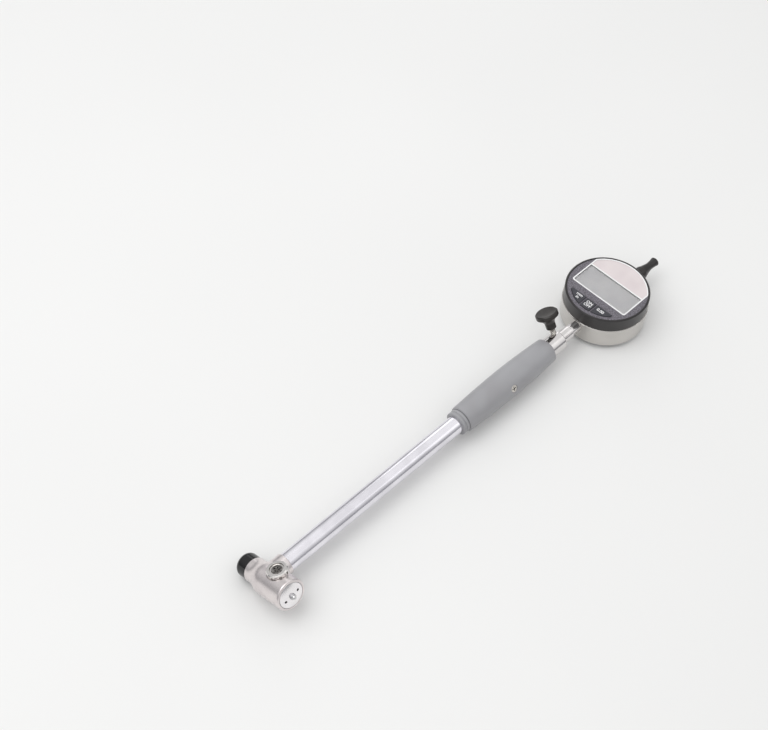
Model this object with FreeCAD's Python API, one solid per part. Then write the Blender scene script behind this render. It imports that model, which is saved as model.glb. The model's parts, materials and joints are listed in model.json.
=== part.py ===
import FreeCAD, Part
import math
import os

# Dial bore gauge with a digital indicator, clamped together as in use.
# Gauge body: +X up the tube from the measuring axis, -Y the moving contact, +Y the anvil and
# +Z the pivot cover. It is drawn straight, then turned about the tube axis by body_turn.
# Indicator: stem along X and face up. The origin is where measuring and tube axes cross.

os.makedirs("parts", exist_ok=True)

V = FreeCAD.Vector

# clearances
run_fit = 0.03          # running fit, on the radius
free_gap = 0.3          # round pieces that only pass by each other
seam = 0.25             # fine groove between two outer pieces
touch = 0.02            # left where two moving pieces push on each other

# whole gauge
body_turn = 20.0        # contact end lifted about the tube axis, degrees
contact_travel = 1.6

# measuring head
contact_end_y = -22.6
head_r = 10.1
head_edge = 0.9         # rounded edge at the contact end
anvil_side_r = 7.9
nut_seat_y = 12.0
taper_start_y = -1.0
taper_end_y = 9.0
neck_step = 0.7         # neck beyond the tube, on the radius
neck_end_x = 14.6
neck_fillet = 2.2

# contact cap, the disc in the contact end with its guide sleeve
cap_margin = 1.8        # barrel's end face round the cap
cap_thick = 3.2
cap_dome = 1.2
cap_sleeve_r = 4.6
cap_sleeve_end_y = -9.8
spanner_hole_r = 0.85
spanner_pitch_r = 5.0
spanner_turn = 11.0     # turn of the line through the two spanner holes, degrees
spanner_depth = 1.6

# moving contact
contact_r = 1.9
contact_ball_r = 1.45
contact_out = 1.6       # plunger end beyond the cap
contact_flange_r = 3.1
contact_flange_len = 1.4
contact_nose_r = 1.0     # thinner inner end, which pushes the lever's pad

# transfer lever, both arms alike
lever_arm = 5.0
lever_thick = 3.0
lever_width = 1.6
lever_boss_r = 2.5
lever_pad_r = 1.3
lever_gap = 0.04        # lever pad to contact plunger, for the arc that the pad follows
pin_r = 1.25
pin_low_z = -6.5
pin_top_z = 4.0

# pivot cover
cover_x = 3.0
cover_y = -10.4
cover_r = 6.7
cover_seat_z = 9.2
cover_thick = 3.2
cover_edge = 0.6
cover_slots = 8
cover_slot_w = 1.5
cover_slot_deep = 0.7
cover_slot_h = 2.0
cover_recess_r = 4.6
cover_recess_deep = 0.8
cover_screw_head_r = 3.5
cover_screw_head_h = 1.6
cover_screw_r = 1.4
cover_screw_len = 3.0
drive_w = 0.9           # cross recess in the screws
drive_len = 4.2
drive_deep = 0.7

# anvil side
anvil_bore_r = 2.5
anvil_bore_deep = 11.0
nut_step = 0.2          # nut under the barrel, on the radius
nut_len = 9.8
nut_round = 3.2
nut_hub_r = 5.6
nut_hub_len = 5.0
nut_lip = 2.2
nut_mouth_r = 3.7

# tube and push rod
tube_r = 6.2
tube_bore_r = 4.0
tube_shown = 146.4      # bare tube between the head and the grip's ring
tube_in_grip = 10.0
spigot_step = 0.8
spigot_len = 5.6
rod_r = 1.5
rod_end_r = 0.6
bush_len = 9.0
bush_in = 4.0           # lower bush beyond the head's neck
bush_to_tip = 3.0       # free rod between the upper bush and the indicator's tip

# grip
ring_len = 4.6
ring_step = 2.0         # ring beyond the tube, on the radius
ring_gap = 0.4          # groove between ring and grip
ring_groove = 0.5
grip_len = 83.0
grip_low_r = 9.1
grip_belly_at = 44.0    # from the grip's lower end to its thickest place
grip_belly_r = 10.3
grip_end_r = 8.8
grip_edge = 0.7
grip_screw_at = 40.4    # from the grip's lower end
grip_screw_turn = 172.0     # direction of the grip's screw round the tube, degrees from +Y
grip_screw_r = 2.5
grip_screw_deep = 3.0
grip_screw_seat_r = 8.9     # from the tube axis to the floor of the screw's pocket
grip_screw_head_h = 1.0

# indicator clamp
collar_len = 13.0
collar_wall = 2.25
collar_edge = 0.6
sleeve_wall = 0.85
sleeve_out = 9.6        # sleeve beyond the collar
sleeve_len = 20.0
sleeve_slot_w = 1.5
sleeve_slot_len = 14.0
sleeve_slot_turn = 145.0    # direction of the open slot, degrees from +Y
knob_turn = 78.0            # direction of the clamp knob, degrees from +Y
knob_in = 3.0               # knob's line inside the collar's outer end
knob_screw_r = 2.0
knob_base = 11.5            # from the tube axis to the knob's neck
knob_neck_r = 3.5
knob_neck_len = 4.1
knob_cone_len = 5.0
knob_disc_r = 7.8
knob_disc_len = 3.2
knob_edge = 0.8
knob_dish = 0.6

# indicator stem, spindle and case
stem_r = 4.0
stem_in = 18.0          # stem length inside the clamp
stem_out = 8.0          # stem length in the open
spindle_r = 2.0
spindle_out = 2.0       # spindle beyond the stem
spindle_past = 5.0      # spindle beyond the far side of the case
tip_r = 1.4
tip_len = 5.0
case_r = 29.6
case_top_z = 4.6
case_bottom_z = -10.4
case_wall = 2.6
back_inset = 2.0        # back cover inside the case, on the radius
back_thick = 3.4
back_screw_r = 1.7
back_screw_h = 1.2
back_screw_inset = 4.6  # from the back cover's edge to the screws' circle
battery_r = 10.5
battery_h = 1.6
coin_slot_w = 1.6
coin_slot_len = 13.0
top_cap_len = 26.0
top_cap_root_r = 5.0
top_cap_waist_r = 2.7
top_cap_end_r = 3.3
top_cap_bore_len = 12.0

# indicator front
face_inset = 0.6        # front inside the case, on the radius
face_z = 14.5
rim_z = 15.0
rim_w = 1.2
face_edge = 0.7
front_wall = 2.2
front_roof = 1.8
board_gap = 1.3         # round the circuit board
board_z = 6.0
board_thick = 1.5
window_arc_in = 1.6     # from the face's edge to the arc over the window
window_side_in = 6.1    # to the window's straight sides
window_low_in = 18.4    # to the window's lower edge
window_corner = 1.6
frame_w = 0.9
frame_proud = 0.2
divider_in = 19.6       # from the face's upper edge to the bar between plate and screen
screen_deep = 1.3
lens_thick = 0.9
button_arc_in = 4.2     # from the face's edge to the arc that bounds the three buttons
button_top_in = 12.8    # from the face's lower edge to the buttons' straight upper edge
button_mid_half = 3.9
button_split = 5.0
button_tip_in = 11.8    # from the face's side to the outer buttons' tips
button_proud = 0.5
button_chamfer = 0.25
button_travel = 0.6
button_gap = 0.2
button_flange = 0.35    # flange beyond the button's sides, under the front
button_flange_h = 1.0
switch_w = 3.4

# worked out
lever_x = lever_arm
lever_y = -lever_arm
neck_r = tube_r + neck_step
spigot_r = tube_r - spigot_step
ring_r = tube_r + ring_step
cap_r = head_r - cap_margin
nut_r = anvil_side_r - nut_step
sleeve_r = stem_r + sleeve_wall
collar_r = sleeve_r + collar_wall
ring_x = neck_end_x + tube_shown
grip_x = ring_x + ring_len + ring_gap
tube_end_x = grip_x + tube_in_grip
grip_belly_x = grip_x + grip_belly_at
grip_screw_x = grip_x + grip_screw_at
grip_end_x = grip_x + grip_len
collar_end_x = grip_end_x + collar_len
clamp_x = collar_end_x - knob_in
sleeve_end_x = collar_end_x + sleeve_out
sleeve_x = sleeve_end_x - sleeve_len
stem_end_x = sleeve_end_x - stem_in
case_x = sleeve_end_x + stem_out
dial_x = case_x + case_r
far_x = dial_x + case_r
spindle_x = stem_end_x - spindle_out
tip_x = spindle_x - tip_len
rod_top_x = tip_x - touch
back_z = case_bottom_z - back_thick
back_r = case_r - back_inset
back_screw_circle = back_r - back_screw_inset
face_r = case_r - face_inset
ceiling_z = face_z - front_roof
board_r = face_r - front_wall - board_gap
window_r = face_r - window_arc_in
window_half = face_r - window_side_in
window_low = window_low_in - face_r
divider_y = face_r - divider_in
button_r = face_r - button_arc_in
button_top = button_top_in - face_r
button_far = face_r - button_tip_in


def cylinder(r, length, base, axis):
    return Part.makeCylinder(r, length, base, axis)


def box(x0, x1, y0, y1, z0, z1):
    return Part.makeBox(x1 - x0, y1 - y0, z1 - z0, V(x0, y0, z0))


def fused(first, *others):
    result = first
    for other in others:
        result = result.fuse(other)
    return result.removeSplitter()


def outline(points):
    """Closed face in the XY plane. Each item is (a, b), or (am, bm, a, b) for an arc
    that passes through (am, bm)."""
    edges = []
    last = V(points[0][0], points[0][1], 0)
    start = last
    for item in points[1:]:
        end = V(item[-2], item[-1], 0)
        if len(item) == 2:
            edges.append(Part.LineSegment(last, end).toShape())
        else:
            edges.append(Part.Arc(last, V(item[0], item[1], 0), end).toShape())
        last = end
    if last.distanceToPoint(start) > 1e-6:
        edges.append(Part.LineSegment(last, start).toShape())
    return Part.Face(Part.Wire(edges))


def turned_x(points):
    """Solid of revolution about X from (x, radius) points."""
    return outline(points).revolve(V(0, 0, 0), V(1, 0, 0), 360)


def turned_y(points):
    """Solid of revolution about Y from (y, radius) points."""
    solid = turned_x(points)
    solid.rotate(V(0, 0, 0), V(0, 0, 1), 90)
    return solid


def turned_z(points, x, y):
    """Solid of revolution about an axis along Z through (x, y), from (z, radius) points."""
    solid = turned_x(points)
    solid.rotate(V(0, 0, 0), V(0, 1, 0), -90)
    solid.translate(V(x, y, 0))
    return solid


def round_tube(angle):
    """Unit vector square to the tube, at an angle from +Y towards +Z."""
    a = math.radians(angle)
    return V(0, math.cos(a), math.sin(a))


def cross_recess(width, length, depth):
    """Cross-shaped cutter, from z = 0 down by depth."""
    one = box(-length / 2, length / 2, -width / 2, width / 2, -depth, depth)
    two = box(-width / 2, width / 2, -length / 2, length / 2, -depth, depth)
    return one.fuse(two)


def save(name, shape):
    shape.exportStep("parts/" + name + ".step")
    print(name, len(shape.Solids), round(shape.Volume, 2), shape.isValid())


def save_body(name, shape):
    """Saves a piece of the gauge body, turned about the tube axis."""
    placed = shape.copy()
    placed.rotate(V(0, 0, 0), V(1, 0, 0), -body_turn)
    save(name, placed)


# ---- measuring head ----

def head_shell():
    """T-shaped head: the measuring barrel, the neck to the tube and the pivot boss."""
    taper_mid_y = (taper_start_y + taper_end_y) / 2
    taper_mid_r = (head_r + anvil_side_r) / 2
    quarter_y = (taper_end_y - taper_start_y) / 4
    quarter_r = (head_r - anvil_side_r) / 8
    corner = head_edge * (1 - math.sqrt(0.5))
    barrel = turned_y([
        (contact_end_y, 0),
        (contact_end_y, head_r - head_edge),
        (contact_end_y + corner, head_r - corner, contact_end_y + head_edge, head_r),
        (taper_start_y, head_r),
        (taper_start_y + quarter_y, head_r - quarter_r, taper_mid_y, taper_mid_r),
        (taper_end_y - quarter_y, anvil_side_r + quarter_r, taper_end_y, anvil_side_r),
        (nut_seat_y, anvil_side_r),
        (nut_seat_y, 0)])
    neck = cylinder(neck_r, neck_end_x, V(0, 0, 0), V(1, 0, 0))
    body = fused(barrel, neck)
    corner_edges = []
    for edge in body.Edges:
        middle = edge.valueAt((edge.FirstParameter + edge.LastParameter) / 2)
        off_axis = math.hypot(middle.y, middle.z)
        on_neck = abs(off_axis - neck_r) < 0.01 and 1 < middle.x < neck_end_x - 1
        if on_neck and edge.Length > neck_r:
            corner_edges.append(edge)
    body = body.makeFillet(neck_fillet, corner_edges)
    boss = cylinder(cover_r, cover_seat_z, V(cover_x, cover_y, 0), V(0, 0, 1))
    hub = cylinder(nut_hub_r, nut_hub_len, V(0, nut_seat_y, 0), V(0, 1, 0))
    return fused(body, boss, hub)


def lever_cavity():
    """Room for the lever and for the swing of both of its arms."""
    half_h = lever_thick / 2 + free_gap
    side = 0.45
    contact_arm = box(-lever_pad_r - side, lever_x,
                      lever_y - lever_pad_r - side,
                      lever_y + lever_pad_r + contact_travel + side, -half_h, half_h)
    rod_arm = box(lever_x - lever_pad_r - side, lever_x + lever_pad_r + contact_travel + side,
                  lever_y, lever_pad_r + side, -half_h, half_h)
    pivot = cylinder(lever_boss_r + side, 2 * half_h, V(lever_x, lever_y, -half_h), V(0, 0, 1))
    return contact_arm.fuse(rod_arm).fuse(pivot)


def head_body():
    cap_seat_y = contact_end_y + cap_thick
    flange_room = cap_sleeve_end_y + contact_flange_len + contact_travel + free_gap
    tube_seat_x = neck_end_x - spigot_len
    hub_end_y = nut_seat_y + nut_hub_len
    cuts = [
        cylinder(cap_r + seam, cap_thick + 1, V(0, contact_end_y - 1, 0), V(0, 1, 0)),
        cylinder(cover_r + seam, head_r, V(cover_x, cover_y, cover_seat_z), V(0, 0, 1)),
        cylinder(cap_sleeve_r, cap_sleeve_end_y - cap_seat_y, V(0, cap_seat_y, 0), V(0, 1, 0)),
        cylinder(contact_flange_r + free_gap, flange_room - cap_sleeve_end_y,
                 V(0, cap_sleeve_end_y, 0), V(0, 1, 0)),
        lever_cavity(),
        cylinder(rod_r + free_gap, tube_seat_x - lever_x, V(lever_x, 0, 0), V(1, 0, 0)),
        cylinder(spigot_r, spigot_len + 1, V(tube_seat_x, 0, 0), V(1, 0, 0)),
        cylinder(pin_r, pin_top_z - pin_low_z, V(lever_x, lever_y, pin_low_z), V(0, 0, 1)),
        cylinder(anvil_bore_r, anvil_bore_deep, V(0, hub_end_y - anvil_bore_deep, 0), V(0, 1, 0)),
        cylinder(cover_screw_r, cover_screw_len,
                 V(cover_x, cover_y, cover_seat_z - cover_screw_len), V(0, 0, 1))]
    solid = head_shell()
    for cut in cuts:
        solid = solid.cut(cut)
    return solid


def contact_cap():
    end = contact_end_y
    seat = end + cap_thick
    bulge = cap_dome * 0.75
    disc = turned_y([
        (end - cap_dome, 0),
        (end - bulge, cap_r / 2, end, cap_r),
        (seat, cap_r),
        (seat, cap_sleeve_r),
        (cap_sleeve_end_y, cap_sleeve_r),
        (cap_sleeve_end_y, 0)])
    bore = cylinder(contact_r + run_fit, cap_sleeve_end_y - end + 2 * cap_thick,
                    V(0, end - cap_thick, 0), V(0, 1, 0))
    solid = disc.cut(bore)
    a = math.radians(spanner_turn)
    for side in (-1, 1):
        place = V(side * spanner_pitch_r * math.cos(a), end - cap_dome - 1,
                  side * spanner_pitch_r * math.sin(a))
        hole = cylinder(spanner_hole_r, spanner_depth + cap_dome + 1, place, V(0, 1, 0))
        solid = solid.cut(hole)
    return solid


def contact_plunger():
    outer = contact_end_y - cap_dome - contact_out
    inner = lever_y - lever_pad_r - lever_gap
    flange_y = cap_sleeve_end_y
    ball_seat = math.sqrt(contact_r ** 2 - contact_ball_r ** 2) * 0.5
    body = turned_y([
        (outer, 0),
        (outer, contact_ball_r),
        (outer + ball_seat, contact_r),
        (flange_y, contact_r),
        (flange_y, contact_flange_r),
        (flange_y + contact_flange_len, contact_flange_r),
        (flange_y + contact_flange_len, contact_nose_r),
        (inner, contact_nose_r),
        (inner, 0)])
    return body.cut(contact_ball())


def contact_ball():
    centre_y = contact_end_y - cap_dome - contact_out
    return Part.makeSphere(contact_ball_r, V(0, centre_y, 0))


def bell_crank():
    low = -lever_thick / 2
    up = V(0, 0, 1)
    boss = cylinder(lever_boss_r, lever_thick, V(lever_x, lever_y, low), up)
    contact_pad = cylinder(lever_pad_r, lever_thick, V(0, lever_y, low), up)
    rod_pad = cylinder(lever_pad_r, lever_thick, V(lever_x, 0, low), up)
    half = lever_width / 2
    contact_arm = box(0, lever_x, lever_y - half, lever_y + half, low, -low)
    rod_arm = box(lever_x - half, lever_x + half, lever_y, 0, low, -low)
    crank = fused(boss, contact_pad, rod_pad, contact_arm, rod_arm)
    return crank.cut(cylinder(pin_r + run_fit, lever_thick, V(lever_x, lever_y, low), up))


def lever_pin():
    return cylinder(pin_r, pin_top_z - pin_low_z, V(lever_x, lever_y, pin_low_z), V(0, 0, 1))


def pivot_cover():
    top = cover_seat_z + cover_thick
    cap = turned_z([
        (cover_seat_z, 0),
        (cover_seat_z, cover_r),
        (top - cover_edge, cover_r),
        (top, cover_r - cover_edge),
        (top, cover_recess_r),
        (top - cover_recess_deep, cover_recess_r - 0.3),
        (top - cover_recess_deep, 0)], cover_x, cover_y)
    for i in range(cover_slots):
        slot = box(cover_r - cover_slot_deep, cover_r + 1, -cover_slot_w / 2, cover_slot_w / 2,
                   cover_seat_z, cover_seat_z + cover_slot_h)
        slot.rotate(V(0, 0, 0), V(0, 0, 1), (i + 0.5) * 360 / cover_slots)
        slot.translate(V(cover_x, cover_y, 0))
        cap = cap.cut(slot)
    return cap.cut(cover_screw_blank())


def cover_screw_blank():
    top = cover_seat_z + cover_thick - cover_recess_deep / 2
    return turned_z([
        (cover_seat_z - cover_screw_len, 0),
        (cover_seat_z - cover_screw_len, cover_screw_r),
        (top - cover_screw_head_h, cover_screw_r),
        (top - cover_screw_head_h, cover_screw_head_r),
        (top - 0.3, cover_screw_head_r),
        (top, cover_screw_head_r - 0.3),
        (top, 0)], cover_x, cover_y)


def cover_screw():
    top = cover_seat_z + cover_thick - cover_recess_deep / 2
    recess = cross_recess(drive_w, drive_len, drive_deep)
    recess.rotate(V(0, 0, 0), V(0, 0, 1), 20)
    recess.translate(V(cover_x, cover_y, top))
    return cover_screw_blank().cut(recess)


def anvil_nut():
    start = nut_seat_y + touch
    end = nut_seat_y + nut_len
    corner = nut_round * (1 - math.sqrt(0.5))
    bore = nut_hub_r + run_fit
    return turned_y([
        (start, bore),
        (start, nut_r - 0.3),
        (start + 0.3, nut_r),
        (end - nut_round, nut_r),
        (end - corner, nut_r - corner, end, nut_r - nut_round),
        (end, nut_mouth_r),
        (end - nut_lip, nut_mouth_r),
        (end - nut_lip, bore)])


# ---- tube, push rod and grip ----

def tube():
    tube_start = neck_end_x + seam
    return turned_x([
        (neck_end_x - spigot_len, tube_bore_r),
        (neck_end_x - spigot_len, spigot_r),
        (tube_start, spigot_r),
        (tube_start, tube_r - 0.2),
        (tube_start + 0.2, tube_r),
        (tube_end_x, tube_r),
        (tube_end_x, tube_bore_r)])


def rod_bush(x):
    return turned_x([(x, rod_r + run_fit), (x, tube_bore_r), (x + bush_len, tube_bore_r),
                     (x + bush_len, rod_r + run_fit)])


def push_rod():
    low_x = lever_x + lever_pad_r + touch
    return turned_x([
        (low_x, 0), (low_x, rod_r - rod_end_r), (low_x + rod_end_r, rod_r),
        (rod_top_x - rod_end_r, rod_r), (rod_top_x, rod_r - rod_end_r), (rod_top_x, 0)])


def grip_ring():
    end = ring_x + ring_len
    groove_x = ring_x + ring_len / 2
    return turned_x([
        (ring_x, tube_r),
        (ring_x, ring_r - 0.4),
        (ring_x + 0.4, ring_r),
        (groove_x - ring_groove, ring_r),
        (groove_x, ring_r - ring_groove),
        (groove_x + ring_groove, ring_r),
        (end, ring_r),
        (end, tube_r)])


def grip_pocket():
    """Cutter for the grip's screw: pocket for the head, and the hole for its shank."""
    axis = round_tube(grip_screw_turn)
    base = V(grip_screw_x, 0, 0)
    seat = base + axis * grip_screw_seat_r
    head = cylinder(grip_screw_r + 0.15, grip_belly_r, seat, axis)
    shank = cylinder(grip_screw_r / 2, grip_screw_deep, seat, axis * -1)
    return head.fuse(shank)


def grip():
    """Barrel-shaped grip: two arcs that meet at the belly, with turned ends."""
    low_mid_x = (grip_x + grip_belly_x) / 2
    low_mid_r = grip_low_r + (grip_belly_r - grip_low_r) * 0.72
    top_mid_x = (grip_belly_x + grip_end_x) / 2
    top_mid_r = grip_end_r + (grip_belly_r - grip_end_r) * 0.68
    solid = turned_x([
        (grip_x, tube_r),
        (grip_x, grip_low_r - grip_edge),
        (grip_x + grip_edge, grip_low_r),
        (low_mid_x, low_mid_r, grip_belly_x, grip_belly_r),
        (top_mid_x, top_mid_r, grip_end_x - grip_edge, grip_end_r),
        (grip_end_x - seam, grip_end_r - grip_edge),
        (grip_end_x - seam, tube_bore_r),
        (tube_end_x, tube_bore_r),
        (tube_end_x, tube_r)])
    return solid.cut(grip_pocket())


def grip_screw():
    axis = round_tube(grip_screw_turn)
    head = cylinder(grip_screw_r, grip_screw_head_h, V(0, 0, 0), V(0, 0, 1))
    shank = cylinder(grip_screw_r / 2, grip_screw_deep, V(0, 0, -grip_screw_deep), V(0, 0, 1))
    recess = cross_recess(drive_w * 0.7, grip_screw_r * 1.3, drive_deep * 0.8)
    recess.translate(V(0, 0, grip_screw_head_h))
    screw = fused(head, shank).cut(recess)
    screw.rotate(V(0, 0, 0), V(1, 0, 0), grip_screw_turn - 90)
    screw.translate(V(grip_screw_x, 0, 0) + axis * grip_screw_seat_r)
    return screw


# ---- clamp for the indicator ----

def clamp_hole():
    return cylinder(knob_screw_r + run_fit, collar_r + 2, V(clamp_x, 0, 0), round_tube(knob_turn))


def collar():
    solid = turned_x([
        (grip_end_x, sleeve_r),
        (grip_end_x, collar_r - collar_edge),
        (grip_end_x + collar_edge, collar_r),
        (collar_end_x - collar_edge, collar_r),
        (collar_end_x, collar_r - collar_edge),
        (collar_end_x, sleeve_r)])
    return solid.cut(clamp_hole())


def clamp_sleeve():
    bore = stem_r + touch
    solid = turned_x([
        (sleeve_x, bore),
        (sleeve_x, sleeve_r),
        (sleeve_end_x - 0.3, sleeve_r),
        (sleeve_end_x, sleeve_r - 0.3),
        (sleeve_end_x, bore)])
    slot = box(sleeve_end_x - sleeve_slot_len, sleeve_end_x + 1, 0, sleeve_r + 1,
               -sleeve_slot_w / 2, sleeve_slot_w / 2)
    slot.rotate(V(0, 0, 0), V(1, 0, 0), sleeve_slot_turn)
    return solid.cut(slot)


def along_knob(shape):
    """Puts a shape drawn up the Z axis on the clamp's radial screw line."""
    shape.rotate(V(0, 0, 0), V(1, 0, 0), knob_turn - 90)
    shape.translate(V(clamp_x, 0, 0))
    return shape


def knob_screw():
    low = sleeve_r + touch
    return along_knob(turned_z([
        (low, 0), (low, knob_screw_r - 0.4), (low + 0.4, knob_screw_r),
        (knob_base + knob_neck_len, knob_screw_r), (knob_base + knob_neck_len, 0)], 0, 0))


def clamp_knob():
    neck_top = knob_base + knob_neck_len
    disc_low = neck_top + knob_cone_len
    disc_top = disc_low + knob_disc_len
    cone_mid_r = knob_neck_r + (knob_disc_r - knob_neck_r) * 0.3
    return along_knob(turned_z([
        (knob_base, knob_screw_r),
        (knob_base, knob_neck_r),
        (neck_top, knob_neck_r),
        (neck_top + knob_cone_len * 0.5, cone_mid_r, disc_low, knob_disc_r),
        (disc_top - knob_edge, knob_disc_r),
        (disc_top, knob_disc_r - knob_edge),
        (disc_top - knob_dish * 0.75, knob_disc_r / 2, disc_top - knob_dish, 1.0),
        (disc_top - knob_dish, 0),
        (neck_top, 0),
        (neck_top, knob_screw_r)], 0, 0))


# ---- indicator: stem, spindle and case ----

def stem():
    inner_end = case_x + case_wall + 1.5
    return turned_x([
        (stem_end_x, spindle_r + run_fit),
        (stem_end_x, stem_r - 0.4),
        (stem_end_x + 0.4, stem_r),
        (inner_end, stem_r),
        (inner_end, spindle_r + run_fit)])


def spindle():
    end = far_x + spindle_past
    return turned_x([
        (spindle_x, 0), (spindle_x, spindle_r - 0.3), (spindle_x + 0.3, spindle_r),
        (end - 0.3, spindle_r), (end, spindle_r - 0.3), (end, 0)])


def spindle_tip():
    """Contact point: a short shank with a ball end that the push rod meets."""
    ball_x = tip_x + tip_r
    side = tip_r * math.sqrt(0.5)
    return turned_x([
        (tip_x, 0),
        (ball_x - side, side, ball_x, tip_r),
        (spindle_x, tip_r),
        (spindle_x, 0)])


def rear_case():
    """Ring-shaped metal case, with holes for the stem and for the top cap."""
    wall = turned_z([
        (case_bottom_z, case_r - case_wall),
        (case_bottom_z, case_r - 0.5),
        (case_bottom_z + 0.5, case_r),
        (case_top_z - 0.4, case_r),
        (case_top_z, case_r - 0.4),
        (case_top_z, case_r - case_wall)], dial_x, 0)
    through = 2 * case_wall
    stem_hole = cylinder(stem_r, through, V(case_x - 1, 0, 0), V(1, 0, 0))
    far_hole = cylinder(spindle_r + free_gap, through, V(far_x - through + 1, 0, 0), V(1, 0, 0))
    flat = cylinder(top_cap_root_r, 1, V(far_x - 0.4, 0, 0), V(1, 0, 0))
    return wall.cut(stem_hole).cut(far_hole).cut(flat)


def back_screw_places():
    places = []
    for i in range(4):
        a = math.radians(45 + 90 * i)
        across = V(math.cos(a), math.sin(a), 0) * back_screw_circle
        places.append(V(dial_x, 0, back_z) + across)
    return places


def battery_cover():
    cover = cylinder(battery_r, battery_h, V(dial_x, 0, back_z), V(0, 0, 1))
    slot = box(dial_x - coin_slot_w / 2, dial_x + coin_slot_w / 2,
               -coin_slot_len / 2, coin_slot_len / 2, back_z - 1, back_z + 0.7)
    return cover.cut(slot)


def back_cover():
    solid = turned_z([
        (back_z, 0),
        (back_z, back_r - 1.2),
        (back_z + 1.2, back_r),
        (case_bottom_z, back_r),
        (case_bottom_z, 0)], dial_x, 0)
    solid = solid.cut(cylinder(battery_r + seam, battery_h, V(dial_x, 0, back_z), V(0, 0, 1)))
    for place in back_screw_places():
        solid = solid.cut(cylinder(back_screw_r, back_screw_h, place, V(0, 0, 1)))
    return solid


def back_screws():
    heads = []
    for place in back_screw_places():
        head = cylinder(back_screw_r, back_screw_h, place, V(0, 0, 1))
        recess = cross_recess(0.6, 2.2, 0.5)
        recess.translate(place)
        heads.append(head.cut(recess))
    return Part.makeCompound(heads)


def top_cap():
    """Waisted cap over the spindle's far end."""
    root_x = far_x - 0.4
    end_x = far_x + top_cap_len
    shoulder_x = root_x + 0.42 * top_cap_len
    waist_x = root_x + 0.74 * top_cap_len
    flare_x = (waist_x + end_x) / 2
    bore_r = spindle_r + free_gap
    return turned_x([
        (root_x, bore_r),
        (root_x, top_cap_root_r),
        (shoulder_x, top_cap_root_r - 0.3),
        ((shoulder_x + waist_x) / 2, (top_cap_root_r + top_cap_waist_r) / 2 - 0.35,
         waist_x, top_cap_waist_r),
        (flare_x, top_cap_waist_r + 0.12, end_x - 0.5, top_cap_end_r),
        (end_x, top_cap_end_r - 0.5),
        (end_x, 0),
        (root_x + top_cap_bore_len, 0),
        (root_x + top_cap_bore_len, bore_r)])


# ---- indicator: front ----
# The front is drawn about the dial's centre with the display's right along +X and its top
# along +Y, then turned so that the top points away from the stem.

def face_up(shape):
    placed = shape.copy()
    placed.rotate(V(0, 0, 0), V(0, 0, 1), -90)
    placed.translate(V(dial_x, 0, 0))
    return placed


def window_block(inset, z0, z1):
    """Prism of the arched window, its outline moved in by inset."""
    half = window_half - inset
    low = window_low + inset
    arc_r = window_r - inset
    spring_y = math.sqrt(arc_r ** 2 - half ** 2)
    c = window_corner - inset / 2
    k = c * (1 - math.sqrt(0.5))
    face = outline([
        (-half + c, low),
        (half - c, low),
        (half - k, low + k, half, low + c),
        (half, spring_y),
        (0, arc_r, -half, spring_y),
        (-half, low + c),
        (-half + k, low + k, -half + c, low)])
    face.translate(V(0, 0, z0))
    return face.extrude(V(0, 0, z1 - z0))


def upper_side(shape, limit):
    """Keeps what lies above a line across the display."""
    return shape.common(box(-face_r, face_r, limit, face_r, -face_r, face_r))


def lower_side(shape, limit):
    return shape.common(box(-face_r, face_r, -face_r, limit, -face_r, face_r))


def button_block(x0, x1, grow, z0, z1):
    """Prism of one button: a slice of the disc under the window, grown by a margin."""
    disc = cylinder(button_r + grow, z1 - z0, V(0, 0, z0), V(0, 0, 1))
    return disc.common(box(x0 - grow, x1 + grow, -face_r, button_top + grow, z0, z1))


button_spans = {
    "button_left": (-button_far, -button_split),
    "button_middle": (-button_mid_half, button_mid_half),
    "button_right": (button_split, button_far)}


def front_case():
    shell = turned_z([
        (case_top_z, 0),
        (case_top_z, face_r),
        (rim_z - face_edge, face_r),
        (rim_z, face_r - face_edge),
        (rim_z, face_r - rim_w),
        (face_z, face_r - rim_w - 0.3),
        (face_z, 0)], 0, 0)
    room = cylinder(face_r - front_wall, ceiling_z - case_top_z, V(0, 0, case_top_z), V(0, 0, 1))
    shell = shell.cut(room).cut(window_block(0, ceiling_z - 1, rim_z + 1))
    for x0, x1 in button_spans.values():
        shell = shell.cut(button_block(x0, x1, button_gap, ceiling_z - 1, rim_z + 1))
    return shell


def window_frame():
    top = face_z + frame_proud
    block = window_block(0, ceiling_z, top)
    opening = window_block(frame_w, ceiling_z - 1, top + 1)
    upper = upper_side(opening, divider_y + frame_w / 2)
    lower = lower_side(opening, divider_y - frame_w / 2)
    return block.cut(upper).cut(lower)


def top_plate():
    return upper_side(window_block(frame_w, ceiling_z, face_z - 0.1), divider_y + frame_w / 2)


def lens():
    top = face_z - 0.15
    return lower_side(window_block(frame_w, top - lens_thick, top), divider_y - frame_w / 2)


def screen():
    return lower_side(window_block(frame_w, board_z + board_thick, face_z - screen_deep),
                      divider_y - frame_w / 2)


def board():
    return cylinder(board_r, board_thick, V(0, 0, board_z), V(0, 0, 1))


def button_middle_of(x0, x1):
    """Middle of a button's upper edge, where its switch sits on the board."""
    return (x0 + x1) / 2 if abs(x0 + x1) < 1 else math.copysign(button_split + 4.0, x0 + x1)


def switches():
    top = ceiling_z - 0.1 - button_flange_h - button_travel - 0.05
    blocks = []
    for x0, x1 in button_spans.values():
        x = button_middle_of(x0, x1)
        y = button_top - 3.5
        blocks.append(box(x - switch_w / 2, x + switch_w / 2, y - switch_w / 2, y + switch_w / 2,
                          board_z + board_thick, top))
    return Part.makeCompound(blocks)


def button(x0, x1):
    top = face_z + button_proud
    flange_top = ceiling_z - 0.1
    cap = button_block(x0, x1, 0, flange_top, top)
    cap_edges = [edge for edge in cap.Edges if edge.BoundBox.ZMin > top - 0.001]
    cap = cap.makeChamfer(button_chamfer, cap_edges)
    flange = button_block(x0, x1, button_flange, flange_top - button_flange_h, flange_top)
    return fused(cap, flange)


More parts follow.
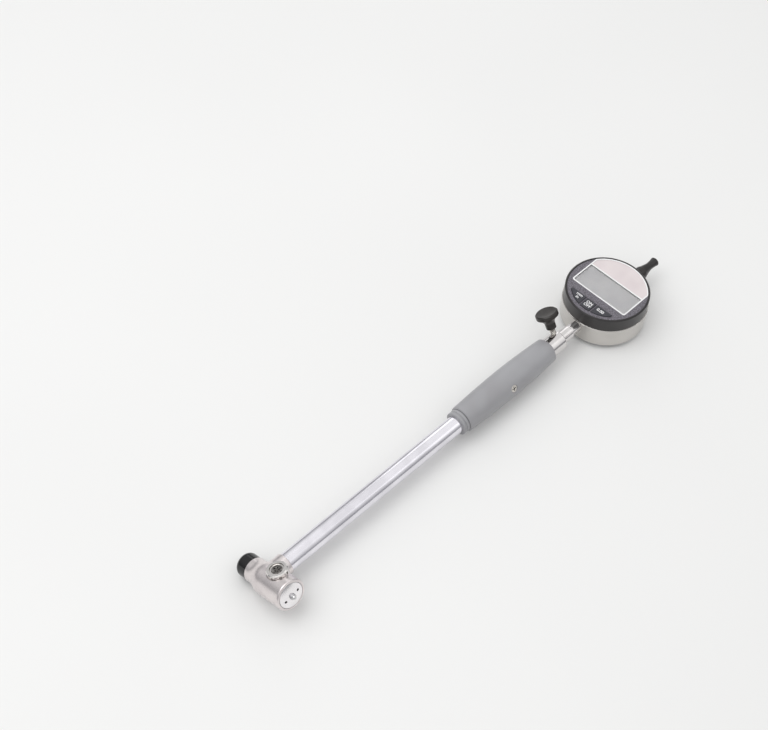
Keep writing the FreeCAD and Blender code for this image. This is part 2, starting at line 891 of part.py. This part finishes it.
save_body("head_body", head_body())
save_body("contact_cap", contact_cap())
save_body("contact_plunger", contact_plunger())
save_body("contact_ball", contact_ball())
save_body("transfer_lever", bell_crank())
save_body("lever_pin", lever_pin())
save_body("pivot_cover", pivot_cover())
save_body("pivot_cover_screw", cover_screw())
save_body("anvil_nut", anvil_nut())
save_body("tube", tube())
save_body("rod_bush_lower", rod_bush(neck_end_x + bush_in))
save_body("rod_bush_upper", rod_bush(tip_x - bush_len - bush_to_tip))
save_body("push_rod", push_rod())
save_body("grip_ring", grip_ring())
save_body("grip", grip())
save_body("grip_screw", grip_screw())
save_body("clamp_collar", collar())
save_body("clamp_sleeve", clamp_sleeve())
save_body("knob_screw", knob_screw())
save_body("clamp_knob", clamp_knob())

save("indicator_stem", stem())
save("spindle", spindle())
save("spindle_tip", spindle_tip())
save("rear_case", rear_case())
save("back_cover", back_cover())
save("back_screws", back_screws())
save("battery_cover", battery_cover())
save("top_cap", top_cap())
save("front_case", face_up(front_case()))
save("window_frame", face_up(window_frame()))
save("top_plate", face_up(top_plate()))
save("lens", face_up(lens()))
save("screen", face_up(screen()))
save("circuit_board", face_up(board()))
save("switches", face_up(switches()))
for button_name, (left, right) in button_spans.items():
    save(button_name, face_up(button(left, right)))
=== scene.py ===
import json
import math

import bpy
import numpy as np
from mathutils import Euler, Matrix, Vector


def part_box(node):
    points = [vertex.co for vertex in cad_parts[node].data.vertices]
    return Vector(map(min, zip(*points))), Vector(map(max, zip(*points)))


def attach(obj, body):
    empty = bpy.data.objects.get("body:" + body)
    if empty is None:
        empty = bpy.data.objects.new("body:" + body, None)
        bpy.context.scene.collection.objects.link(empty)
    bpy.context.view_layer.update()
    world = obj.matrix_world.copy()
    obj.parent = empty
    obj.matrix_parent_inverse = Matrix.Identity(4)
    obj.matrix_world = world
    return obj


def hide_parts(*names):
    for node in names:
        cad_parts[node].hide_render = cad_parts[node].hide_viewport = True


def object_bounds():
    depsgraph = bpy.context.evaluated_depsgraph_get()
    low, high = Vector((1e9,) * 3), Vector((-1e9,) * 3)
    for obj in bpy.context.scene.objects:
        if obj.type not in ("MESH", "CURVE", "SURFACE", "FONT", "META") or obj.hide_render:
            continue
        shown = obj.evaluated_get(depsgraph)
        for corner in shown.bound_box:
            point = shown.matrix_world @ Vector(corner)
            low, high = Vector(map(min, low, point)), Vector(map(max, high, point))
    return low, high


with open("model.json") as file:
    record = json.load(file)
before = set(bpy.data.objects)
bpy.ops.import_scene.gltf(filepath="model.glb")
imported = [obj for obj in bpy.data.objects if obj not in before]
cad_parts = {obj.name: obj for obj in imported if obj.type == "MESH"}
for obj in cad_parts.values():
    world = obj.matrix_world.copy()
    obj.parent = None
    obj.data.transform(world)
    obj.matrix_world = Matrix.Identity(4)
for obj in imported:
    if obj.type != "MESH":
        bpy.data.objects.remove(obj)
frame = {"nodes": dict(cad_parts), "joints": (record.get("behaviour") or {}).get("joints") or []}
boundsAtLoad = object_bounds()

# Dial bore gauge with a digital indicator. The CAD nodes keep their shapes and get their finishes here.
# New here are the clamp screw's thread, the marks on the buttons, the stage, the lamps and the camera.

mm = 0.001
nodes = frame["nodes"]
joints = {joint["name"]: joint for joint in frame["joints"]}
dialLow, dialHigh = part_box("front_case")
dialCentre = (dialLow + dialHigh) / 2
faceRadius = (dialHigh.x - dialLow.x) / 2
measuringTurn = (-20, 0, 0)     # degrees about the tube, by which the measuring axis is turned
plasticIor = 1.5                # a typical value for plastics, inks and enamels
absIor = 1.54
edgeRadiusMm = 0.15             # how round an edge looks where its finish doesn't say
waveRepeats = 3.18              # repeats of a wave texture in one unit, at a scale of 1
mixShare, mixFirst, mixSecond, mixColour = 0, 6, 7, 2    # inputs of a colour mix, and its output


# The sRGB curve undone: a straight part near black, and a power of 2.4 above it.
def linearColour(hexText):
    srgb = np.array([int(hexText[i:i + 2], 16) for i in (1, 3, 5)]) / 255
    linear = np.where(srgb <= 0.04045, srgb / 12.92, ((srgb + 0.055) / 1.055) ** 2.4)
    return (*linear.tolist(), 1.0)


# Scale of a pattern whose repeats are sizeMm apart: how many of them go into a metre of Object coordinates.
def perMetre(sizeMm):
    return 1000.0 / sizeMm


# Adds a node, sets its properties and its sockets' values, and links other nodes' sockets into it.
def addNode(tree, kind, settings=None, values=None, links=None):
    node = tree.nodes.new(kind)
    for key, value in (settings or {}).items():
        setattr(node, key, value)
    for key, value in (values or {}).items():
        node.inputs[key].default_value = value
    for key, socket in (links or {}).items():
        tree.links.new(socket, node.inputs[key])
    return node


# A new material with one Principled shader, whose constant values stand on its own sockets.
def startMaterial(name, values):
    material = bpy.data.materials.new(name)
    material.use_nodes = True
    tree = material.node_tree
    tree.nodes.clear()
    shader = addNode(tree, "ShaderNodeBsdfPrincipled", values=values)
    addNode(tree, "ShaderNodeOutputMaterial", links={"Surface": shader.outputs["BSDF"]})
    coords = addNode(tree, "ShaderNodeTexCoord").outputs["Object"]
    return material, tree, shader, coords


# Noise on Object coordinates, with coordinates divided by stretch: each grain is grainMm across, and as
# many times longer along x, y and z as stretch says.
def grain(tree, coords, grainMm, stretch=(1, 1, 1), detail=2.0):
    stretched = addNode(tree, "ShaderNodeMapping", {"vector_type": "TEXTURE"},
                        {"Scale": tuple(float(times) for times in stretch)}, {"Vector": coords})
    noise = addNode(tree, "ShaderNodeTexNoise", {"noise_dimensions": "3D"},
                    {"Scale": perMetre(grainMm), "Detail": detail, "Roughness": 0.55},
                    {"Vector": stretched.outputs["Vector"]})
    return noise.outputs["Fac"]


# Two colours mixed by a pattern: the first up to start, the second from end on, and evenly in between.
def patchedColour(tree, pattern, colours, start=0.35, end=0.65):
    share = addNode(tree, "ShaderNodeMapRange", values={"From Min": start, "From Max": end},
                    links={"Value": pattern})
    mixed = addNode(tree, "ShaderNodeMix", {"data_type": "RGBA"},
                    {mixFirst: linearColour(colours[0]), mixSecond: linearColour(colours[1])},
                    {mixShare: share.outputs["Result"]})
    return mixed.outputs[mixColour]


# Height from a pattern, heightMm from its lowest to its highest place, on edges that look rounded by
# edgeMm: within that distance of an edge the normal is the mean of the faces on both sides.
def addHeight(tree, shader, pattern, heightMm, edgeMm):
    rounded = addNode(tree, "ShaderNodeBevel", {"samples": 6}, {"Radius": edgeMm * mm})
    bump = addNode(tree, "ShaderNodeBump", values={"Distance": heightMm * mm},
                   links={"Height": pattern, "Normal": rounded.outputs["Normal"]})
    tree.links.new(bump.outputs["Normal"], shader.inputs["Normal"])


# Painted shade in corners. Where the piece's own walls, within reachMm, leave a share of the sky open that
# is under the upper of the two limits below, the colour goes to a dark brown, and under darkBelow it is all
# brown.
cornerShadeLook = {"colour": "#1d1a18", "darkBelow": 0.3, "unshadedAbove": 0.75}


def paintShadeInCorners(tree, colour, reachMm):
    openness = addNode(tree, "ShaderNodeAmbientOcclusion", {"samples": 8, "only_local": True},
                       {"Distance": reachMm * mm})
    unshaded = addNode(tree, "ShaderNodeMapRange",
                    values={"From Min": cornerShadeLook["darkBelow"], "From Max": cornerShadeLook["unshadedAbove"]},
                    links={"Value": openness.outputs["AO"]})
    mixed = addNode(tree, "ShaderNodeMix", {"data_type": "RGBA"},
                    {mixFirst: linearColour(cornerShadeLook["colour"])},
                    {mixShare: unshaded.outputs["Result"], mixSecond: colour})
    return mixed.outputs[mixColour]


# What most finishes share: roughness and height follow one pattern, and the colour drifts in slow patches.
def dressSurface(tree, shader, coords, pattern, look):
    roughLow, roughHigh = look["roughness"]
    roughness = addNode(tree, "ShaderNodeMapRange", values={"To Min": roughLow, "To Max": roughHigh},
                        links={"Value": pattern})
    tree.links.new(roughness.outputs["Result"], shader.inputs["Roughness"])
    patches = grain(tree, coords, look["patchMm"], detail=1.0)
    colour = patchedColour(tree, patches, look["colours"])
    # Painted shade: the colour darkens in corners where the piece's own walls hide the sky.
    if "cornerShadeMm" in look:
        colour = paintShadeInCorners(tree, colour, look["cornerShadeMm"])
    tree.links.new(colour, shader.inputs["Base Color"])
    addHeight(tree, shader, pattern, look["heightMm"], look.get("edgeMm", edgeRadiusMm))


# A metal's finish: its pattern is tool marks, markMm apart and drawn out by stretch.
def metalFinish(name, look):
    material, tree, shader, coords = startMaterial(name, {"Metallic": 1.0})
    marks = grain(tree, coords, look["markMm"], look.get("stretch", (1, 1, 1)))
    dressSurface(tree, shader, coords, marks, look)
    return material


# A plastic, printed or painted finish: its pattern is a fine even grain.
def moulded(name, look):
    material, tree, shader, coords = startMaterial(name, {"IOR": plasticIor})
    dressSurface(tree, shader, coords, grain(tree, coords, look["grainMm"]), look)
    return material


# Satin-chromed steel, blasted before plating: an even pale grey with soft-edged reflections.
# The blasting is about 0.1 mm and drawn at 0.6 mm so that it shows.
# Painted shade darkens its corners.
headSatin = metalFinish("headSatinChrome", {
    "colours": ("#dad3d3", "#e5dedd"), "roughness": (0.24, 0.34), "markMm": 0.6, "patchMm": 9,
    "heightMm": 0.006, "edgeMm": 0.3, "cornerShadeMm": 0.8})

# Hard-chromed and polished round the tube: bright, with faint rings. The rings are drawn 1.2 mm apart.
tubeChrome = metalFinish("tubeHardChrome", {
    "colours": ("#e3e1e7", "#eeecf2"), "roughness": (0.12, 0.22), "markMm": 1.2, "patchMm": 12,
    "stretch": (1, 60, 60), "heightMm": 0.0015})

# Bright decorative chrome on brass: a near mirror with the slight waviness of hand polishing.
# Painted shade darkens its slots and recess.
coverChrome = metalFinish("coverBrightChrome", {
    "colours": ("#dedbd8", "#e8e5e2"), "roughness": (0.06, 0.11), "markMm": 3.0, "patchMm": 8,
    "heightMm": 0.004, "edgeMm": 0.1, "cornerShadeMm": 3.0})

# Bright nickel on the turned clamp parts: a warm white metal with faint rings, drawn 0.9 mm apart.
clampNickel = metalFinish("clampBrightNickel", {
    "colours": ("#d3d0cf", "#dedbda"), "roughness": (0.08, 0.15), "markMm": 0.9, "patchMm": 12,
    "stretch": (1, 40, 40), "heightMm": 0.0015})

# Ground tool steel: grey, with fine scratches round the piece.
groundSteel = metalFinish("groundToolSteel", {
    "colours": ("#b9b9bb", "#c6c6c8"), "roughness": (0.14, 0.22), "markMm": 0.5, "patchMm": 5,
    "stretch": (1, 30, 30), "heightMm": 0.001})

# Lapped carbide ball: bright and almost without marks.
ballCarbide = metalFinish("lappedCarbide", {
    "colours": ("#d2d1d2", "#dcdbdb"), "roughness": (0.04, 0.07), "markMm": 0.6, "patchMm": 2,
    "heightMm": 0.0005})

# Nickelled screws: a warm grey with cutter marks, drawn 0.5 mm apart, and painted shade in their recesses.
screwSteel = metalFinish("nickelledScrewSteel", {
    "colours": ("#c4c0ba", "#d3cfc9"), "roughness": (0.18, 0.3), "markMm": 0.5, "patchMm": 3,
    "heightMm": 0.005, "cornerShadeMm": 0.8})

# Blackened screw in the pivot cover, rubbed bright in places: two greys in patches of about 1.5 mm.
# Painted shade darkens its recess.
darkScrew = metalFinish("blackenedScrewSteel", {
    "colours": ("#55524f", "#a8a5a1"), "roughness": (0.16, 0.3), "markMm": 0.5, "patchMm": 1.5,
    "heightMm": 0.006, "cornerShadeMm": 0.9})

# Free-cutting brass of the bushes: yellow, with turning marks.
bushBrass = metalFinish("turnedBrass", {
    "colours": ("#c9a860", "#d6b873"), "roughness": (0.2, 0.3), "markMm": 0.5, "patchMm": 5,
    "stretch": (1, 30, 30), "heightMm": 0.003})

# Polished steel ring of the case: rings round its wall, which stand one above another, drawn 1 mm apart.
caseSteel = metalFinish("casePolishedSteel", {
    "colours": ("#c8c5c1", "#d4d1cd"), "roughness": (0.08, 0.14), "markMm": 1.0, "patchMm": 20,
    "stretch": (50, 50, 1), "heightMm": 0.0015})

# Brushed steel back: straight hairlines from one side to the other, drawn 0.5 mm apart.
backSteel = metalFinish("backBrushedSteel", {
    "colours": ("#b4b4b5", "#c3c3c4"), "roughness": (0.24, 0.36), "markMm": 0.5, "patchMm": 18,
    "stretch": (1, 80, 1), "heightMm": 0.003})

# Silver-anodised sheet over the screen: a pale satin with hairlines along the display's width.
plateAluminium = metalFinish("plateAnodisedAluminium", {
    "colours": ("#e8dedf", "#f0e7e7"), "roughness": (0.3, 0.4), "markMm": 0.5, "patchMm": 15,
    "stretch": (1, 90, 1), "heightMm": 0.0015})

# Moulded black acetal, polished mould: a wet black with one clear highlight.
nutAcetal = moulded("nutGlossAcetal", {
    "colours": ("#0d0d0e", "#131213"), "roughness": (0.1, 0.15), "grainMm": 1.6, "patchMm": 6,
    "heightMm": 0.004})

# Stoved grey enamel on the grip: matt, with the light speckle of orange peel, about 0.8 mm.
gripEnamel = moulded("gripGreyEnamel", {
    "colours": ("#98979a", "#9e9ea1"), "roughness": (0.32, 0.46), "grainMm": 0.8, "patchMm": 18,
    "heightMm": 0.008, "edgeMm": 0.3})

# Black phenolic knob: dull, and very slightly brown.
knobPhenolic = moulded("knobPhenolic", {
    "colours": ("#231f1d", "#2c2825"), "roughness": (0.3, 0.42), "grainMm": 0.7, "patchMm": 5,
    "heightMm": 0.008})


# Black ABS front, moulded with a spark-eroded face and a smooth wall. The face's colour is a speckled grey,
# a painted sheen that stands for the light its points catch, and the wall keeps the plastic's dark colour.
# The texture is about 0.3 mm and drawn at 0.9 mm. The face is where the distance from the dial's centre is
# under its radius less the rim, and it turns into the wall over fadeMm.
def makeFrontAbs(look):
    material, tree, shader, coords = startMaterial("frontTexturedAbs", {"IOR": absIor})
    flat = addNode(tree, "ShaderNodeVectorMath", {"operation": "MULTIPLY"}, {1: (1, 1, 0)}, {0: coords})
    away = addNode(tree, "ShaderNodeVectorMath", {"operation": "DISTANCE"},
                   {1: (dialCentre.x, dialCentre.y, 0)}, {0: flat.outputs["Vector"]})
    edge = faceRadius - look["rimMm"] * mm
    onFace = addNode(tree, "ShaderNodeMapRange",
                     values={"From Min": edge, "From Max": edge - look["fadeMm"] * mm},
                     links={"Value": away.outputs["Value"]}).outputs["Result"]
    speckle = grain(tree, coords, look["speckleMm"], detail=3.0)
    # Painted sheen: the face's speckled grey stands in for the light caught by its texture.
    paintedSheenFace = patchedColour(tree, speckle, look["paintedSheenFaceColours"], look["speckleFrom"], look["speckleTo"])
    wallColour = patchedColour(tree, grain(tree, coords, look["patchMm"]), look["wallColours"])
    mixed = addNode(tree, "ShaderNodeMix", {"data_type": "RGBA"},
                    links={mixShare: onFace, mixFirst: wallColour, mixSecond: paintedSheenFace})
    tree.links.new(mixed.outputs[mixColour], shader.inputs["Base Color"])
    roughness = addNode(tree, "ShaderNodeMapRange",
                        values={"To Min": look["wallRoughness"], "To Max": look["faceRoughness"]},
                        links={"Value": onFace})
    tree.links.new(roughness.outputs["Result"], shader.inputs["Roughness"])
    height = addNode(tree, "ShaderNodeMath", {"operation": "MULTIPLY"}, links={0: speckle, 1: onFace})
    addHeight(tree, shader, height.outputs["Value"], look["heightMm"], look["edgeMm"])
    return material


frontAbs = makeFrontAbs({
    "paintedSheenFaceColours": ("#4e4b50", "#7c7881"), "wallColours": ("#211f1f", "#282425"), "faceRoughness": 0.55,
    "wallRoughness": 0.32, "speckleMm": 0.9, "speckleFrom": 0.38, "speckleTo": 0.62, "patchMm": 12,
    "heightMm": 0.03, "rimMm": 1.4, "fadeMm": 0.3, "edgeMm": 0.35})

# Black ABS of the cap over the spindle, smoother than the front.
capAbs = moulded("capBlackAbs", {
    "colours": ("#1d1a1a", "#252121"), "roughness": (0.28, 0.38), "grainMm": 0.9, "patchMm": 8,
    "heightMm": 0.006})

# Silicone rubber of the buttons: a dark matt grey that shows against the front's speckle.
buttonRubber = moulded("buttonSilicone", {
    "colours": ("#34343a", "#3d3d43"), "roughness": (0.42, 0.55), "grainMm": 0.6, "patchMm": 5,
    "heightMm": 0.006})

# White screen-printed outline of the window: an even gloss white.
frameWhite = moulded("windowWhitePrint", {
    "colours": ("#f1f1f1", "#f6f6f6"), "roughness": (0.25, 0.35), "grainMm": 0.9, "patchMm": 6,
    "heightMm": 0.002})

# White ink of the marks on the buttons: a flat bright white.
markInk = moulded("markWhiteInk", {
    "colours": ("#f4f4f5", "#fbfbfb"), "roughness": (0.4, 0.5), "grainMm": 0.5, "patchMm": 2,
    "heightMm": 0.002})

# Switched-off liquid crystal display: a flat grey with the faintest cloudiness from its polariser. The grey
# is lighter than the display's own: painted light that makes up for the lamp light the lens in front of it
# stops.
displayGrey = moulded("displayPolariser", {
    "colours": ("#d2d1d3", "#d9d8d9"), "roughness": (0.3, 0.36), "grainMm": 2.5, "patchMm": 12,
    "heightMm": 0.001})

# Solder mask of the circuit board: a glossy dark green. Nylon of its switches: black and dull.
boardMask = moulded("boardSolderMask", {
    "colours": ("#1c5a35", "#236a3f"), "roughness": (0.25, 0.4), "grainMm": 1.2, "patchMm": 4,
    "heightMm": 0.01})
switchNylon = moulded("switchBlackNylon", {
    "colours": ("#1a1a1a", "#222222"), "roughness": (0.4, 0.5), "grainMm": 0.6, "patchMm": 2,
    "heightMm": 0.004})


# Face-turned steel of the contact cap: bright rings about the measuring axis, drawn 0.9 mm apart. They are
# the sine of the distance from that axis, on coordinates turned with it.
def makeCapSteel(look):
    material, tree, shader, coords = startMaterial("capFaceTurnedSteel", {"Metallic": 1.0})
    turned = addNode(tree, "ShaderNodeMapping", {"vector_type": "TEXTURE"},
                     {"Rotation": tuple(map(math.radians, look["turn"]))}, {"Vector": coords})
    rings = addNode(tree, "ShaderNodeTexWave",
                    {"wave_type": "RINGS", "rings_direction": "Y", "wave_profile": "SIN"},
                    {"Scale": perMetre(look["ringMm"]) / waveRepeats, "Distortion": look["unevenness"],
                     "Detail": 1.0, "Detail Scale": 1.5}, {"Vector": turned.outputs["Vector"]})
    dressSurface(tree, shader, coords, rings.outputs["Fac"], look)
    return material


# Painted shade darkens its corners.
capSteel = makeCapSteel({
    "colours": ("#f0edef", "#f7f4f5"), "roughness": (0.16, 0.25), "ringMm": 0.9, "patchMm": 6,
    "unevenness": 0.6, "turn": measuringTurn, "heightMm": 0.002, "cornerShadeMm": 1.3})


# Cast acrylic over the screen: clear, and polished on both faces, with a roughness that hardly varies.
def makeLensAcrylic(look):
    material, tree, shader, coords = startMaterial("lensAcrylic", {
        "Base Color": linearColour(look["colour"]), "IOR": look["ior"], "Transmission Weight": 1.0})
    roughLow, roughHigh = look["roughness"]
    haze = addNode(tree, "ShaderNodeMapRange", values={"To Min": roughLow, "To Max": roughHigh},
                   links={"Value": grain(tree, coords, look["hazeMm"], detail=1.0)})
    tree.links.new(haze.outputs["Result"], shader.inputs["Roughness"])
    return material


lensAcrylic = makeLensAcrylic({"colour": "#ffffff", "ior": 1.49, "hazeMm": 9, "roughness": (0.0, 0.03)})

finishes = {
    "head_body": headSatin, "contact_cap": capSteel, "contact_plunger": groundSteel,
    "contact_ball": ballCarbide, "transfer_lever": groundSteel, "lever_pin": groundSteel,
    "pivot_cover": coverChrome, "pivot_cover_screw": darkScrew, "anvil_nut": nutAcetal,
    "tube": tubeChrome, "rod_bush_lower": bushBrass, "rod_bush_upper": bushBrass, "push_rod": groundSteel,
    "grip_ring": gripEnamel, "grip": gripEnamel, "grip_screw": screwSteel, "clamp_collar": clampNickel,
    "clamp_sleeve": clampNickel, "knob_screw": screwSteel, "clamp_knob": knobPhenolic,
    "indicator_stem": clampNickel, "spindle": groundSteel, "spindle_tip": ballCarbide,
    "rear_case": caseSteel, "back_cover": backSteel, "back_screws": screwSteel,
    "battery_cover": backSteel, "top_cap": capAbs, "front_case": frontAbs, "window_frame": frameWhite,
    "top_plate": plateAluminium, "lens": lensAcrylic, "screen": displayGrey, "circuit_board": boardMask,
    "switches": switchNylon, "button_left": buttonRubber, "button_middle": buttonRubber,
    "button_right": buttonRubber}
for nodeName, material in finishes.items():
    for slot in nodes[nodeName].material_slots:
        slot.material = material
print("finished", len(finishes), "nodes with", len(set(finishes.values())), "materials")


# A new piece from a grid of points: faces between each row and the next, closed round the rows, and a fan
# of triangles from each end row to its pole.
def closedSurface(name, grid, firstPole, lastPole, material):
    rows, around = grid.shape[:2]
    points = np.concatenate([grid.reshape(-1, 3), [firstPole], [lastPole]])
    index = np.arange(rows * around).reshape(rows, around)
    near, far = index[:-1], index[1:]
    quads = np.stack([near, np.roll(near, -1, 1), np.roll(far, -1, 1), far], -1).reshape(-1, 4)
    poles = rows * around + np.array([0, 1])
    start = np.stack([np.full(around, poles[0]), np.roll(index[0], -1), index[0]], -1)
    end = np.stack([np.full(around, poles[1]), index[-1], np.roll(index[-1], -1)], -1)
    mesh = bpy.data.meshes.new(name)
    mesh.from_pydata(points.tolist(), [], quads.tolist() + start.tolist() + end.tolist())
    mesh.shade_smooth()
    mesh.materials.append(material)
    piece = bpy.data.objects.new(name, mesh)
    bpy.context.scene.collection.objects.link(piece)
    return piece


# Lowest and highest place of a node along a direction: the dot products of its points with it.
def spanAlong(nodeName, direction):
    mesh = nodes[nodeName].data
    places = np.zeros(len(mesh.vertices) * 3)
    mesh.vertices.foreach_get("co", places)
    along = places.reshape(-1, 3) @ np.array(direction)
    return along.min(), along.max()


# Clamp screw with its thread. Radius at height h and angle a: the crest radius less the thread's depth
# times a triangle wave of h / pitch - a / full turn, so the ridge climbs one pitch in each turn. Within
# fadeMm of each end the ridge sinks to the root.
threadLook = {
    "crestMm": 2.0, "depthMm": 0.38, "pitchMm": 0.7, "fadeMm": 0.4, "rowsPerPitch": 10, "around": 48}


def makeClampThread(look):
    axis = Vector(joints["knob_turn"]["axis"]).normalized()
    side = axis.cross(Vector((1, 0, 0))).normalized()
    other = axis.cross(side)
    low, high = spanAlong("knob_screw", axis)
    rows = int((high - low) / (look["pitchMm"] * mm) * look["rowsPerPitch"])
    height = np.linspace(low, high, rows)[:, None]
    angle = np.linspace(0, 2 * math.pi, look["around"], endpoint=False)[None, :]
    phase = (height - low) / (look["pitchMm"] * mm) - angle / (2 * math.pi)
    groove = 1 - np.abs(2 * (phase % 1) - 1)
    endFade = np.clip(np.minimum(height - low, high - height) / (look["fadeMm"] * mm), 0, 1)
    radius = (look["crestMm"] - look["depthMm"] * (groove * endFade + 1 - endFade)) * mm
    origin = np.array([joints["knob_turn"]["pos_m"][0], 0, 0])
    grid = (origin + height[..., None] * np.array(axis)
            + (radius * np.cos(angle))[..., None] * np.array(side)
            + (radius * np.sin(angle))[..., None] * np.array(other))
    piece = closedSurface("clamp_screw_thread", grid, origin + low * np.array(axis),
                          origin + high * np.array(axis), screwSteel)
    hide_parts("knob_screw")
    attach(piece, "knob")
    print("thread", rows, "rows, from", round(low / mm, 2), "to", round(high / mm, 2), "mm up its axis")


makeClampThread(threadLook)


# A printed mark: the letters' outlines as a thin sheet, made a mesh, turned to read with the display's
# top away from the stem, and set on the middle of its button, moved by shiftMm across and up.
def makeMark(nodeName, bodyName, lines, look):
    low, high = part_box(nodeName)
    curve = bpy.data.curves.new("mark", "FONT")
    curve.body = "\n".join(lines)
    curve.size = look["sizeMm"] * mm
    curve.space_line = look["lineSpace"]
    curve.align_x, curve.align_y = "CENTER", "CENTER"
    curve.extrude = look["thickMm"] * mm / 2
    curve.offset = look["boldMm"] * mm
    letters = bpy.data.objects.new("mark", curve)
    bpy.context.scene.collection.objects.link(letters)
    bpy.context.view_layer.update()
    mesh = bpy.data.meshes.new_from_object(letters.evaluated_get(bpy.context.evaluated_depsgraph_get()))
    bpy.data.objects.remove(letters)
    across, up = look["shiftMm"][nodeName]
    place = Vector(((low.x + high.x) / 2 + up * mm, (low.y + high.y) / 2 - across * mm,
                    high.z + look["thickMm"] * mm / 2))
    mesh.transform(Matrix.Translation(place) @ Matrix.Rotation(-math.pi / 2, 4, "Z"))
    mesh.materials.clear()
    mesh.materials.append(markInk)
    piece = bpy.data.objects.new("mark_on_" + nodeName, mesh)
    bpy.context.scene.collection.objects.link(piece)
    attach(piece, bodyName)


markLook = {
    "sizeMm": 3.2, "lineSpace": 0.85, "thickMm": 0.02, "boldMm": 0.06,
    "shiftMm": {"button_left": (1.6, 0.9), "button_middle": (0, 0.1), "button_right": (-1.6, 1.0)}}
markLines = {"button_left": ["mm", "in"], "button_middle": ["ON", "OFF"], "button_right": ["0.00"]}
for nodeName, lines in markLines.items():
    makeMark(nodeName, nodeName, lines, markLook)
print("marked", len(markLines), "buttons")

# Stage: one large sheet of pale paper under the gauge, matt, with a hardly visible drift in its colour.
stageLook = {
    "halfWidthM": 12.0, "colours": ("#eaeae9", "#ececeb"), "roughness": (0.8, 0.9), "grainMm": 3,
    "patchMm": 300, "heightMm": 0.01}


def makeStage(look):
    half, z = look["halfWidthM"], boundsAtLoad[0].z
    mesh = bpy.data.meshes.new("floor")
    corners = [(-half, -half, z), (half, -half, z), (half, half, z), (-half, half, z)]
    mesh.from_pydata(corners, [], [(0, 1, 2, 3)])
    mesh.materials.append(moulded("stagePaper", look))
    floor = bpy.data.objects.new("floor", mesh)
    bpy.context.scene.collection.objects.link(floor)


makeStage(stageLook)
print("floor at", round(boundsAtLoad[0].z / mm, 2), "mm")

# Soft studio light: a world that is brighter overhead, and three large square lamps aimed at the gauge.
# A flat surface gets about seven tenths of its light from the world and the rest from the lamps.
lightLook = {
    "world": {"colours": ("#96979a", "#ffffff"), "horizonBelow": 0.08, "overheadAbove": 0.75,
              "strength": 0.95},
    "lamps": {"key": {"placeM": (-0.45, 0.35, 1.15), "sizeM": 1.0, "watts": 5.0},
              "fill": {"placeM": (0.9, -0.7, 0.8), "sizeM": 0.9, "watts": 0.8},
              "back": {"placeM": (0.7, 0.9, 0.5), "sizeM": 0.6, "watts": 0.8}}}


# The world's colour goes with the height of the direction, which is the sine of its angle above level.
def makeLight(look):
    sky = look["world"]
    world = bpy.data.worlds.new("studio")
    bpy.context.scene.world = world
    world.use_nodes = True
    tree = world.node_tree
    tree.nodes.clear()
    direction = addNode(tree, "ShaderNodeTexCoord").outputs["Generated"]
    height = addNode(tree, "ShaderNodeSeparateXYZ", links={"Vector": direction}).outputs["Z"]
    colour = patchedColour(tree, height, sky["colours"], sky["horizonBelow"], sky["overheadAbove"])
    glow = addNode(tree, "ShaderNodeBackground", values={"Strength": sky["strength"]},
                   links={"Color": colour})
    addNode(tree, "ShaderNodeOutputWorld", links={"Surface": glow.outputs["Background"]})
    centre = (boundsAtLoad[0] + boundsAtLoad[1]) / 2
    for name, lamp in look["lamps"].items():
        data = bpy.data.lights.new(name, "AREA")
        data.size, data.energy = lamp["sizeM"], lamp["watts"]
        holder = bpy.data.objects.new(name, data)
        holder.location = centre + Vector(lamp["placeM"])
        holder.rotation_euler = Vector(lamp["placeM"]).to_track_quat("Z", "Y").to_euler()
        bpy.context.scene.collection.objects.link(holder)


makeLight(lightLook)
print("lit by the world and", len(lightLook["lamps"]), "lamps")

# Camera: where it stands, the way it looks in degrees, its lens, and how near and far it sees.
cameraLook = {
    "placeMm": (-244.4, -319.2, 725.0), "azimuth": -46.5, "elevation": 52.36, "roll": 2.44, "lensMm": 65.05,
    "sensorMm": 36.0, "nearM": 0.01, "farM": 50.0}


def makeCamera(look):
    data = bpy.data.cameras.new("camera")
    data.lens = look["lensMm"]
    data.sensor_width = look["sensorMm"]
    data.clip_start, data.clip_end = look["nearM"], look["farM"]
    holder = bpy.data.objects.new("camera", data)
    turn = Euler((math.radians(90 - look["elevation"]), 0, math.radians(look["azimuth"]))).to_matrix()
    turn = turn @ Matrix.Rotation(math.radians(look["roll"]), 3, "Z")
    holder.matrix_world = Matrix.Translation(Vector(look["placeMm"]) * mm) @ turn.to_4x4()
    bpy.context.scene.collection.objects.link(holder)
    bpy.context.scene.camera = holder


makeCamera(cameraLook)
print("camera in place")
bpy.context.scene.view_settings.view_transform = "Standard"
